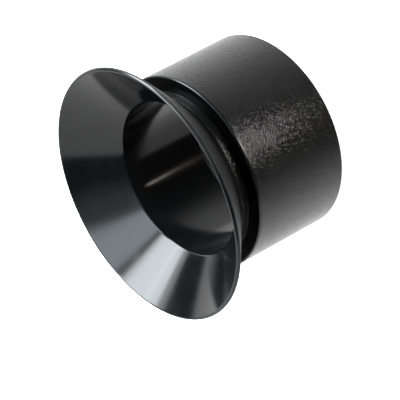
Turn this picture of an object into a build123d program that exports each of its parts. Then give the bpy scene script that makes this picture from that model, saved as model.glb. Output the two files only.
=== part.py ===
from build123d import *
from math import cos, radians, sin, tan
import os

# A round flow nozzle in two plastic mouldings: a polished flare with its flow tube,
# pushed from the front into a grained outer sleeve.
# +Z is the flow axis, towards the mouth. Z = 0 is the plane of the sleeve's rear end.

# Driving dimensions, in millimetres
rim_radius = 40.15          # the back corner of the flare's lip before it is rounded
rim_height = 49.7           # height of that corner above the sleeve's rear end
lip_thickness = 1.3         # wall at the lip, whose end face is square to the wall
lip_angle = 50.0            # between the flow axis and the wall at the lip, degrees
bore_radius = 24.5          # flow tube, inside
throat_height = 37.4        # where the flow tube opens into the flare
tube_wall = 1.05

sleeve_front_radius = 31.0
sleeve_length = 33.5
sleeve_draft = 1.0          # the sleeve widens this much towards its rear end, degrees
sleeve_wall = 2.4           # at the front
web_thickness = 2.2         # the sleeve's closed front
collar_wall = 0.8           # ring on the web that holds the flow tube
collar_height = 2.4         # above the web's front face

socket_radius = 29.3        # rear socket, which takes the pump's outlet ring
socket_depth = 8.0

# Joint between the two mouldings
joint_clearance = 0.03      # radial, between the flow tube and the collar
seat_land = 0.35            # upright band of the flare just above the collar
bead_height = 0.35          # snap bead on the flow tube, behind the web
bead_land = 0.6
bead_ramp = 1.2
tube_setback = 0.6          # the flow tube ends this far inside the socket's ledge

# Edge radii
throat_round = 1.2
lip_round = 0.4
sleeve_edge_round = 0.5
corner_round = 0.4
rear_edge_round = 0.35
lead_in = 0.5               # chamfer at the mouth of the socket
match = 0.01                # how closely an edge has to match a stated place

# Sizes worked out from those above
tube_radius = bore_radius + tube_wall
collar_bore = tube_radius + joint_clearance
collar_radius = collar_bore + collar_wall
seat_height = sleeve_length + collar_height
web_rear = sleeve_length - web_thickness
sleeve_rear_radius = sleeve_front_radius + sleeve_length * tan(radians(sleeve_draft))
sleeve_inner_radius = sleeve_front_radius - sleeve_wall
lip_front_radius = rim_radius - lip_thickness * cos(radians(lip_angle))
lip_front_height = rim_height + lip_thickness * sin(radians(lip_angle))


def turned(outline):
    """A solid of revolution about Z from a closed outline of (radius, height) points."""
    points = [(radius, 0, height) for radius, height in outline]
    return revolve(make_face(Polyline(*points, close=True)), Axis.Z)


def ring_edges(solid, places):
    """The circular edges of a turned solid at each (radius, height) of the list."""
    found = []
    for radius, height in places:
        for edge in solid.edges().filter_by(GeomType.CIRCLE):
            right_radius = abs(edge.radius - radius) < match
            if right_radius and abs(edge.arc_center.Z - height) < match:
                found.append(edge)
    return found


def flare_nozzle():
    tube_end = socket_depth + tube_setback
    bead_radius = tube_radius + bead_height
    throat = (bore_radius, throat_height)
    lip_front = (lip_front_radius, lip_front_height)
    lip_back = (rim_radius, rim_height)
    tube_end_inner = (bore_radius, tube_end)
    tube_end_outer = (tube_radius, tube_end)
    flare = turned([
        tube_end_inner,
        throat,
        lip_front,
        lip_back,
        (collar_radius, seat_height + seat_land),
        (collar_radius, seat_height),
        (tube_radius, seat_height),
        (tube_radius, web_rear),
        (bead_radius, web_rear),
        (bead_radius, web_rear - bead_land),
        (tube_radius, web_rear - bead_land - bead_ramp),
        tube_end_outer,
    ])
    flare = fillet(ring_edges(flare, [throat]), throat_round)
    flare = fillet(ring_edges(flare, [lip_front, lip_back]), lip_round)
    return fillet(ring_edges(flare, [tube_end_inner, tube_end_outer]), rear_edge_round)


def outer_sleeve():
    front_edge = (sleeve_front_radius, sleeve_length)
    rear_edge = (sleeve_rear_radius, 0)
    collar_foot = (collar_radius, sleeve_length)
    web_corner = (sleeve_inner_radius, web_rear)
    socket_mouth = (socket_radius, 0)
    sleeve = turned([
        rear_edge,
        front_edge,
        collar_foot,
        (collar_radius, seat_height),
        (collar_bore, seat_height),
        (collar_bore, web_rear),
        web_corner,
        (sleeve_inner_radius, socket_depth),
        (socket_radius, socket_depth),
        socket_mouth,
    ])
    sleeve = fillet(ring_edges(sleeve, [front_edge]), sleeve_edge_round)
    sleeve = fillet(ring_edges(sleeve, [collar_foot, web_corner]), corner_round)
    sleeve = fillet(ring_edges(sleeve, [rear_edge]), rear_edge_round)
    return chamfer(ring_edges(sleeve, [socket_mouth]), lead_in)


os.makedirs("parts", exist_ok=True)
export_step(flare_nozzle(), "parts/flare_nozzle.step")
export_step(outer_sleeve(), "parts/outer_sleeve.step")
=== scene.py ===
# Flow nozzle: a polished flare snapped into a grained outer sleeve.
import math
import bpy
from mathutils import Matrix, Vector


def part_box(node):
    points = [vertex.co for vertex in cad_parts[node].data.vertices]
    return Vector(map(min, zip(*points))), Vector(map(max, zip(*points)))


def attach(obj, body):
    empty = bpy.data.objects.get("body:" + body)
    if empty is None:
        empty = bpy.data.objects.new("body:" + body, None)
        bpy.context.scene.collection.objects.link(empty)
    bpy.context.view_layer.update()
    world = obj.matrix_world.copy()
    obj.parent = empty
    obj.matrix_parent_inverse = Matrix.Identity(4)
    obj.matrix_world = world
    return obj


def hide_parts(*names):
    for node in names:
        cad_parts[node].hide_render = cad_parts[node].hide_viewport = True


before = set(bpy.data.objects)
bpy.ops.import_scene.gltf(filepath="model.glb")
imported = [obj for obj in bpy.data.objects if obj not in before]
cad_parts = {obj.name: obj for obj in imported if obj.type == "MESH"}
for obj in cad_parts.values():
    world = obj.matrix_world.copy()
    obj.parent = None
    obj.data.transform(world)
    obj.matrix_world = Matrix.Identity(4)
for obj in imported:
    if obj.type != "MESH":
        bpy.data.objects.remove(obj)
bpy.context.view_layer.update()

mm = 0.001
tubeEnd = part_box("flare_nozzle")[0][2] / mm
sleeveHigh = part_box("outer_sleeve")[1]
rearRadius, collarTop = sleeveHigh[0] / mm, sleeveHigh[2] / mm


class Wire:
    # one output socket: arithmetic on it adds Math nodes to its tree
    def __init__(self, nodes, socket):
        self.nodes = nodes
        self.socket = socket

    def math(self, operation, *others):
        return self.nodes.math(operation, self, *others)

    def __add__(self, other):
        return self.math("ADD", other)

    def __radd__(self, other):
        return self.math("ADD", other)

    def __sub__(self, other):
        return self.math("SUBTRACT", other)

    def __rsub__(self, other):
        return self.nodes.math("SUBTRACT", other, self)

    def __mul__(self, other):
        return self.math("MULTIPLY", other)

    def __rmul__(self, other):
        return self.math("MULTIPLY", other)

    def __truediv__(self, other):
        return self.math("DIVIDE", other)

    def __rtruediv__(self, other):
        return self.nodes.math("DIVIDE", other, self)

    def __mod__(self, other):
        return self.math("MODULO", other)

    def __rmod__(self, other):
        return self.nodes.math("MODULO", other, self)


class Nodes:
    # adds nodes to the tree of a material, of the world or of a modifier
    def __init__(self, tree):
        self.tree = tree
        self.tree.nodes.clear()

    def add(self, kind, settings=None, values=None, output=0):
        made = self.tree.nodes.new(kind)
        for name, value in (settings or {}).items():
            setattr(made, name, value)
        for key, value in (values or {}).items():
            socket = made.inputs[key]
            if isinstance(value, Wire):
                self.tree.links.new(value.socket, socket)
            else:
                socket.default_value = value
        return Wire(self, made.outputs[output]) if made.outputs else None

    def outputs(self, wire, *names):
        return [Wire(self, wire.socket.node.outputs[name]) for name in names]

    def math(self, operation, *values):
        return self.add("ShaderNodeMath", {"operation": operation}, dict(enumerate(values)))

    def smooth(self, value, low, high):
        return self.add("ShaderNodeMapRange", {"interpolation_type": "SMOOTHSTEP"},
                        {"Value": value, "From Min": low, "From Max": high})

    def noise(self, place, scale, detail=0, roughness=0.5):
        return self.add("ShaderNodeTexNoise", None, {
            "Vector": place, "Scale": scale, "Detail": detail, "Roughness": roughness})

    def blend(self, share, first, second):
        # a Mix node's sockets share their names, so its colours go by number
        return self.add("ShaderNodeMix", {"data_type": "RGBA"}, {0: share, 6: first, 7: second}, output=2)


camera = {
    "lens": 143.41,                # long, so the circles are hardly tapered
    "sensor": 36,
    "clip": (0.01, 20),
    "distance": 0.4766,
    "elevation": 32.86,
    "azimuth": 1.248,
    "roll": -118.78,               # the nozzle stands on its rear end and is seen lying
    "aim": (-8.72, 3.83, 31.22),   # mm
}


def buildCamera(view):
    data = bpy.data.cameras.new("camera")
    data.lens = view["lens"]
    data.sensor_width = view["sensor"]
    data.clip_start, data.clip_end = view["clip"]
    made = bpy.data.objects.new("camera", data)
    bpy.context.scene.collection.objects.link(made)
    elevation, azimuth = math.radians(view["elevation"]), math.radians(view["azimuth"])
    back = Vector((math.sin(azimuth) * math.cos(elevation),
                   -math.cos(azimuth) * math.cos(elevation), math.sin(elevation)))
    level = (-back).to_track_quat("-Z", "Y").to_matrix().to_4x4()
    turned = level @ Matrix.Rotation(math.radians(view["roll"]), 4, "Z")
    aim = Vector(view["aim"]) * mm
    made.matrix_world = Matrix.Translation(aim + back * view["distance"]) @ turned
    bpy.context.scene.camera = made
    return turned.to_3x3(), aim


studio, aim = buildCamera(camera)     # studio's columns: right, up and towards the camera
bpy.context.scene.view_settings.view_transform = "Standard"
print("camera ready")


def studioDirection(right, up, towards):
    return (studio @ Vector((right, up, towards))).normalized()


softboxes = {
    # where each stands from the nozzle, as right, up, towards the camera; distance and size in metres
    # the three at the left overlap and add up to one softbox that is brightest in its middle
    "leftSoftbox": {"towards": (-0.85, 0.36, 0.385), "distance": 0.7, "size": (0.2, 0.8),
                    "radiance": 4.6, "tint": (0.93, 1, 1.04)},
    "leftDiffuser": {"towards": (-0.866, 0.36, 0.35), "distance": 0.72, "size": (0.345, 0.82),
                     "radiance": 10.5, "tint": (0.93, 1, 1.04)},
    "leftSpill": {"towards": (-0.92, 0.36, 0.15), "distance": 0.74, "size": (0.2, 0.82),
                  "radiance": 3.5, "tint": (0.93, 1, 1.04)},
    "frontLeftFill": {"towards": (-0.675, 0.09, 0.733), "distance": 0.7, "size": (0.19, 0.6),
                      "radiance": 4.6, "tint": (0.87, 1, 1.1)},
    "rightStrip": {"towards": (0.8465, 0.264, 0.4686), "distance": 0.7, "size": (0.12, 0.02),
                   "radiance": 14, "tint": (1, 0.9, 0.78)},
    "nearLamp": {"towards": (0.633, 0.387, 0.671), "distance": 0.1055, "size": (0.026, 0.018),
                 "radiance": 28, "tint": (1, 0.98, 0.96), "spread": 60},
}


def buildSoftbox(name, box):
    data = bpy.data.lights.new(name, "AREA")
    data.shape = "RECTANGLE"
    data.size, data.size_y = box["size"]
    data.energy = box["radiance"] * math.pi * data.size * data.size_y
    if "spread" in box:        # a honeycomb narrows the beam; less energy keeps its middle as bright
        half = math.radians(box["spread"]) / 2
        data.spread = 2 * half
        data.energy *= 1 - half / math.tan(half)
    data.color = box["tint"]
    made = bpy.data.objects.new(name, data)
    bpy.context.scene.collection.objects.link(made)
    direction = studioDirection(*box["towards"])
    side = studioDirection(0, 1, 0).cross(direction).normalized()
    turned = Matrix((side, direction.cross(side), direction)).transposed().to_4x4()
    made.matrix_world = Matrix.Translation(aim + direction * box["distance"]) @ turned
    made.visible_camera = False


for name, box in softboxes.items():
    buildSoftbox(name, box)

surround = {
    # a pair is where a soft edge starts and ends, along right, up or towards the camera
    "backdrop": 1.9,                   # lit brighter than the table, so it is seen as pure white
    "backdropEdge": (0.36, 0.48),
    "backdropLeft": 0.75,              # it falls off towards the lower left
    "backdropFade": (-1.25, -0.35),
    "backdropTilt": 1.5,               # how much more it falls off downwards than to the left
    "table": 1.45,
    "tableSlope": 0.55,                # how far the table comes forward under the nozzle
    "tableFront": (-0.02, 0.02),
    "tableTop": (0.1, 0.2),
    "tableFall": 0.45,                 # share of the table's light that is lost towards its right end
    "tableFade": (0.7, 0.95),
    "ceiling": 1.0,
    "ceilingFront": (-0.37, 0.12),
    "ceilingEdge": (0.35, 0.6),
    "glow": 0.6,                       # soft edge of the fill at the front left
    "glowTowards": (-0.6, -0.05, 0.8),
    "glowEdge": (0.78, 0.96),
    "dark": 0.04,                      # the room behind the camera
}


def buildSurround(room):
    world = bpy.data.worlds.new("surround")
    world.use_nodes = True
    bpy.context.scene.world = world
    nodes = Nodes(world.node_tree)
    view = nodes.add("ShaderNodeTexCoord", output="Generated")
    dot = {"operation": "DOT_PRODUCT"}
    right, up, towards = [nodes.add("ShaderNodeVectorMath", dot, {0: view, 1: tuple(axis)}, output="Value")
                          for axis in studio.transposed()]
    down, away = up * -1, towards * -1
    table = nodes.smooth(down * room["tableSlope"] + away, *room["tableFront"])
    table = table * nodes.smooth(down, *room["tableTop"]) * room["table"]
    table = table * (1 - nodes.smooth(right, *room["tableFade"]) * room["tableFall"])
    lit = nodes.smooth(right + up * room["backdropTilt"], *room["backdropFade"])
    lit = lit * (room["backdrop"] - room["backdropLeft"]) + room["backdropLeft"]
    backdrop = nodes.smooth(away, *room["backdropEdge"]) * lit
    ceiling = nodes.smooth(away, *room["ceilingFront"]) * nodes.smooth(up, *room["ceilingEdge"])
    glowRight, glowUp, glowTowards = room["glowTowards"]
    glow = nodes.smooth(right * glowRight + up * glowUp + towards * glowTowards, *room["glowEdge"])
    radiance = table.math("MAXIMUM", backdrop).math("MAXIMUM", ceiling * room["ceiling"])
    radiance = radiance + glow * room["glow"] + room["dark"]
    seen = nodes.add("ShaderNodeLightPath", output="Is Camera Ray")
    shine = nodes.add("ShaderNodeBackground", None, {"Strength": seen + (1 - seen) * radiance})
    nodes.add("ShaderNodeOutputWorld", None, {"Surface": shine})


buildSurround(surround)


def finishMaterial(name, build):
    made = bpy.data.materials.new(name)
    made.use_nodes = True
    nodes = Nodes(made.node_tree)
    nodes.add("ShaderNodeOutputMaterial", None, {"Surface": build(nodes)})
    return made


paper = {
    "half": 6,                 # metres from the middle of the floor to a side
    "colour": (0.8, 0.8, 0.8, 1),
    "roughness": 0.9,
    "glowColour": (1, 1, 1, 1),
    "glow": 0.93,              # keeps the floor near white wherever it is seen from
}


def floorWhite(nodes):
    return nodes.add("ShaderNodeBsdfPrincipled", None, {
        "Base Color": paper["colour"], "Roughness": paper["roughness"],
        "Emission Color": paper["glowColour"], "Emission Strength": paper["glow"]})


def buildFloor(half):
    mesh = bpy.data.meshes.new("floor")
    corners = [(-half, -half, 0), (half, -half, 0), (half, half, 0), (-half, half, 0)]
    mesh.from_pydata(corners, [], [(0, 1, 2, 3)])
    floor = bpy.data.objects.new("floor", mesh)
    bpy.context.scene.collection.objects.link(floor)
    mesh.materials.append(finishMaterial("floorWhite", floorWhite))
    floor.visible_glossy = False
    floor.visible_shadow = False
    floor.visible_diffuse = False


buildFloor(paper["half"])
print("studio ready")

turning = {
    "arcStep": 11,             # degrees from point to point round a corner
    "fewestSteps": 2,
    "support": 0.12,           # mm from a rounded corner to a point that keeps the side flat
    "shortSide": 0.72,         # mm, sides up to this long get no such points
    "weld": 0.001,             # mm, closes the seams
}


def roundedOutline(corners):
    # corners are (radius, height, rounding) in mm, in order round the section
    points = []
    for index, (radius, height, rounding) in enumerate(corners):
        corner = Vector((radius, height))
        before = Vector(corners[index - 1][:2]) - corner
        after = Vector(corners[(index + 1) % len(corners)][:2]) - corner
        first, second = before.normalized(), after.normalized()
        inside = first.angle(second)
        reach = rounding / math.tan(inside / 2)
        middle = corner + (first + second).normalized() * rounding / math.sin(inside / 2)
        start, end = corner + first * reach, corner + second * reach
        steps = max(turning["fewestSteps"], round(math.degrees(math.pi - inside) / turning["arcStep"]))
        turn = (start - middle).angle_signed(end - middle)
        if before.length > turning["shortSide"]:
            points.append(start + first * turning["support"])
        for step in range(steps + 1):
            arm = (start - middle).copy()
            arm.rotate(Matrix.Rotation(-turn * step / steps, 2))
            points.append(middle + arm)
        if after.length > turning["shortSide"]:
            points.append(end + second * turning["support"])
    return [(point.x * mm, 0, point.y * mm) for point in points]


def latheTree():
    tree = bpy.data.node_groups.new("lathe", "GeometryNodeTree")
    sockets = {}
    for name, kind in (("Outline", "Geometry"), ("Steps round", "Int"), ("Finish", "Material")):
        sockets[name] = tree.interface.new_socket(name, in_out="INPUT", socket_type="NodeSocket" + kind)
    tree.interface.new_socket("Body", in_out="OUTPUT", socket_type="NodeSocketGeometry")
    nodes = Nodes(tree)
    outline, steps, finish = nodes.outputs(nodes.add("NodeGroupInput"), *sockets)
    count = nodes.add("GeometryNodeAttributeDomainSize", {"component": "MESH"}, {"Geometry": outline})
    rows = count + 1           # the last row and the last column of the grid meet its first ones
    grid = nodes.add("GeometryNodeMeshGrid", None, {"Vertices X": steps + 1, "Vertices Y": rows})
    index = nodes.add("GeometryNodeInputIndex")
    row = index % rows
    column = (index / rows).math("FLOOR")
    place = nodes.add("GeometryNodeInputPosition")
    onOutline = nodes.add("GeometryNodeSampleIndex", {"data_type": "FLOAT_VECTOR"},
                          {"Geometry": outline, "Value": place, "Index": row % count})
    spun = nodes.add("ShaderNodeVectorRotate", {"rotation_type": "Z_AXIS"},
                     {"Vector": onOutline, "Angle": column * math.tau / steps})
    body = nodes.add("GeometryNodeSetPosition", None, {"Geometry": grid, "Position": spun})
    body = nodes.add("GeometryNodeMergeByDistance", None,
                     {"Geometry": body, "Distance": turning["weld"] * mm})
    body = nodes.add("GeometryNodeSetShadeSmooth", None, {"Geometry": body})
    body = nodes.add("GeometryNodeRealizeInstances", None, {"Geometry": body})
    body = nodes.add("GeometryNodeSetMaterial", None, {"Geometry": body, "Material": finish})
    nodes.add("NodeGroupOutput", None, {"Body": body})
    return tree, {name: socket.identifier for name, socket in sockets.items()}


lathe, latheInputs = latheTree()


def turnBody(name, corners, stepsRound, finish):
    points = roundedOutline(corners)
    outline = bpy.data.meshes.new(name + "Outline")
    edges = [(index, (index + 1) % len(points)) for index in range(len(points))]
    outline.from_pydata(points, edges, [])
    source = bpy.data.objects.new(name + "Outline", outline)
    bpy.context.scene.collection.objects.link(source)
    modifier = source.modifiers.new("lathe", "NODES")
    modifier.node_group = lathe
    modifier[latheInputs["Steps round"]] = stepsRound
    modifier[latheInputs["Finish"]] = finish
    outline.update()
    evaluated = source.evaluated_get(bpy.context.evaluated_depsgraph_get())
    mesh = bpy.data.meshes.new_from_object(evaluated)
    source.modifiers.clear()
    bpy.data.objects.remove(source)
    body = bpy.data.objects.new(name, mesh)
    bpy.context.scene.collection.objects.link(body)
    print(name, len(mesh.vertices), "points,", len(mesh.polygons), "faces")
    return body


def placeOnBody(nodes):
    # the point and its x in metres, then its radius and its height in mm
    place = nodes.add("ShaderNodeTexCoord", output="Object")
    split = nodes.add("ShaderNodeSeparateXYZ", None, {"Vector": place})
    x, y, z = nodes.outputs(split, "X", "Y", "Z")
    return place, x, (x * x + y * y).math("SQRT") / mm, z / mm


flare = {
    "rimRadius": 40.10,        # back corner of the lip before it is rounded
    "rimHeight": 49.7,
    "lipThickness": 1.294,
    "lipAngle": 60,            # of the lip's end face, degrees above level
    "boreRadius": 24.5,
    "throatHeight": 37.4,
    "tubeRadius": 25.55,
    "seatRadius": 26.38,
    "coneFoot": 36.25,         # where the back of the flare meets its seat
    "seatHeight": 35.9,
    "webRear": 31.3,
    "bead": 0.35,
    "beadLand": 0.6,
    "beadRamp": 1.2,
    "lipFrontRound": 0.527,
    "lipBackRound": 0.393,
    "throatRound": 1.2,
    "tubeEndRound": 0.3,
    "edge": 0.06,              # breaks the corners that are sharp
    "stepsRound": 420,
}


def flareCorners(size):
    angle = math.radians(size["lipAngle"])
    frontRadius = size["rimRadius"] - size["lipThickness"] * math.cos(angle)
    frontHeight = size["rimHeight"] + size["lipThickness"] * math.sin(angle)
    beadRadius = size["tubeRadius"] + size["bead"]
    landRear = size["webRear"] - size["beadLand"]
    return [
        (size["tubeRadius"], tubeEnd, size["tubeEndRound"]),
        (size["tubeRadius"], landRear - size["beadRamp"], size["edge"]),
        (beadRadius, landRear, size["edge"]),
        (beadRadius, size["webRear"], size["edge"]),
        (size["tubeRadius"], size["webRear"], size["edge"]),
        (size["tubeRadius"], size["seatHeight"], size["edge"]),
        (size["seatRadius"], size["seatHeight"], size["edge"]),
        (size["seatRadius"], size["coneFoot"], size["edge"]),
        (size["rimRadius"], size["rimHeight"], size["lipBackRound"]),
        (frontRadius, frontHeight, size["lipFrontRound"]),
        (size["boreRadius"], size["throatHeight"], size["throatRound"]),
        (size["boreRadius"], tubeEnd, size["tubeEndRound"]),
    ]


polish = {
    "colour": (0.004, 0.0043, 0.005, 1),
    "hazeColour": (0.0065, 0.0068, 0.0075, 1),
    "inside": 0.125,           # roughness of the mouth and the bore
    "haze": 0.03,              # roughness added where the polish is hazy
    "hazeSize": 9,             # mm
    "hazeEdge": (0.4, 0.7),    # of its noise, from clear to hazy
    "back": 0.42,              # roughness of the back of the flare, which is left satin
    "backEdge": (-0.9, -0.5),  # mm from the back of the cone, from polished to satin
    "tubeEdge": 0.5,           # mm outside the flow tube, over which the satin starts
    "backGrain": 0.5,          # mm
    "backDepth": 0.07,         # mm
    "marks": 0.004,            # mm, depth of the polish marks that run round
    "marksPitch": 0.6,         # mm
    "marksLength": 40,         # mm
}


def polishedBlack(nodes):
    place, x, radius, height = placeOnBody(nodes)
    slope = (flare["rimRadius"] - flare["seatRadius"]) / (flare["rimHeight"] - flare["coneFoot"])
    fromBack = radius - flare["seatRadius"] - (height - flare["coneFoot"]) * slope
    outsideTube = nodes.smooth(radius - flare["tubeRadius"], 0, polish["tubeEdge"])
    back = nodes.smooth(fromBack, *polish["backEdge"]) * outsideTube
    clouds = nodes.noise(place, 1 / (polish["hazeSize"] * mm), detail=4, roughness=0.6)
    haze = nodes.smooth(clouds, *polish["hazeEdge"])
    around = nodes.add("ShaderNodeCombineXYZ", None, {
        "X": radius / polish["marksPitch"],
        "Y": x / (polish["marksLength"] * mm),
        "Z": height / polish["marksPitch"]})
    marks = nodes.noise(around, 1, detail=2)
    pits = nodes.noise(place, 1 / (polish["backGrain"] * mm))
    relief = marks * polish["marks"] * (1 - back) + pits * polish["backDepth"] * back
    bump = nodes.add("ShaderNodeBump", None, {"Strength": 1, "Distance": mm, "Height": relief})
    return nodes.add("ShaderNodeBsdfPrincipled", None, {
        "Base Color": nodes.blend(haze, polish["colour"], polish["hazeColour"]),
        "Roughness": polish["inside"] + haze * polish["haze"] + back * (polish["back"] - polish["inside"]),
        "Normal": bump})


flareBody = turnBody("flare", flareCorners(flare), flare["stepsRound"],
                     finishMaterial("polishedBlack", polishedBlack))
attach(flareBody, "root")
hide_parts("flare_nozzle")
print("flare ready")

sleeve = {
    "frontRadius": 31.0,
    "length": 33.5,
    "innerRadius": 28.6,
    "webRear": 31.3,
    "collarBore": 25.58,
    "collarRadius": 26.38,
    "socketRadius": 29.3,
    "socketDepth": 8.0,
    "leadIn": 0.5,
    "frontRound": 0.5,
    "cornerRound": 0.4,
    "rearRound": 0.35,
    "edge": 0.06,              # breaks the corners that are sharp
    "stepsRound": 420,
}


def sleeveCorners(size):
    return [
        (rearRadius, 0, size["rearRound"]),
        (size["frontRadius"], size["length"], size["frontRound"]),
        (size["collarRadius"], size["length"], size["cornerRound"]),
        (size["collarRadius"], collarTop, size["edge"]),
        (size["collarBore"], collarTop, size["edge"]),
        (size["collarBore"], size["webRear"], size["edge"]),
        (size["innerRadius"], size["webRear"], size["cornerRound"]),
        (size["innerRadius"], size["socketDepth"], size["edge"]),
        (size["socketRadius"], size["socketDepth"], size["edge"]),
        (size["socketRadius"], size["leadIn"], size["edge"]),
        (size["socketRadius"] + size["leadIn"], 0, size["edge"]),
    ]


grain = {
    # a pair is where a soft edge starts and ends
    "colour": (0.009, 0.009, 0.0088, 1),
    "roughness": 0.2,
    "uneven": 0.03,                # roughness added in soft patches
    "patch": 7,                    # mm
    "size": 0.36,                  # mm, from one pit of the spark-eroded grain to the next
    "depth": 0.13,                 # mm
    "corner": (-1, -0.5),          # mm from the front face
    "cornerRadius": (28, 29),      # mm, so that the collar keeps its grain
    "cornerLoss": 0.9,             # share of the grain's depth that the front corner lacks
    "wornColour": (0.022, 0.022, 0.021, 1),
    "worn": (-0.7, -0.2),          # mm from the front face, where the corner is rubbed
    "wornPatch": (0.35, 0.6),      # of the patches' noise
    # the web's darker colour and weaker shine are painted shade of the recess between the flare and the
    # sleeve; its low roughness is its smooth finish
    "webPaintedShadeColour": (0.002, 0.002, 0.002, 1),
    "web": 0.15,                   # roughness of the smooth web behind the flare
    "webPaintedShadeShine": 0.1,
    "webRim": (-0.2, -0.6),        # mm from the front radius
    "webFront": (0.4, 0.2),        # mm from the front face
    "webBack": (0.5, 1),           # mm from the web's rear face
}


def grainedBlack(nodes):
    place, _, radius, height = placeOnBody(nodes)
    fromFront = height - sleeve["length"]
    webPart = nodes.smooth(radius - sleeve["frontRadius"], *grain["webRim"])
    webPart = webPart * nodes.smooth(fromFront, *grain["webFront"])
    webPart = webPart * nodes.smooth(height - sleeve["webRear"], *grain["webBack"])
    corner = nodes.smooth(fromFront, *grain["corner"]) * nodes.smooth(radius, *grain["cornerRadius"])
    pits = nodes.noise(place, 1 / (grain["size"] * mm)) * (1 - corner * grain["cornerLoss"])
    bump = nodes.add("ShaderNodeBump", None, {"Strength": 1, "Distance": grain["depth"] * mm, "Height": pits})
    patches = nodes.noise(place, 1 / (grain["patch"] * mm), detail=3, roughness=0.6)
    worn = nodes.smooth(fromFront, *grain["worn"]) * nodes.smooth(patches, *grain["wornPatch"])
    grained = nodes.add("ShaderNodeBsdfPrincipled", None, {
        "Base Color": nodes.blend(worn, grain["colour"], grain["wornColour"]),
        "Roughness": grain["roughness"] + patches * grain["uneven"],
        "Normal": bump})
    # the smooth web behind the flare, made darker and less shiny than the sleeve as painted shade of its
    # recess
    web = nodes.add("ShaderNodeBsdfPrincipled", None, {
        "Base Color": grain["webPaintedShadeColour"], "Roughness": grain["web"],
        "Specular IOR Level": grain["webPaintedShadeShine"]})
    return nodes.add("ShaderNodeMixShader", None, {0: webPart, 1: grained, 2: web})


sleeveBody = turnBody("sleeve", sleeveCorners(sleeve), sleeve["stepsRound"],
                      finishMaterial("grainedBlack", grainedBlack))
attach(sleeveBody, "root")
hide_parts("outer_sleeve")
print("sleeve ready")
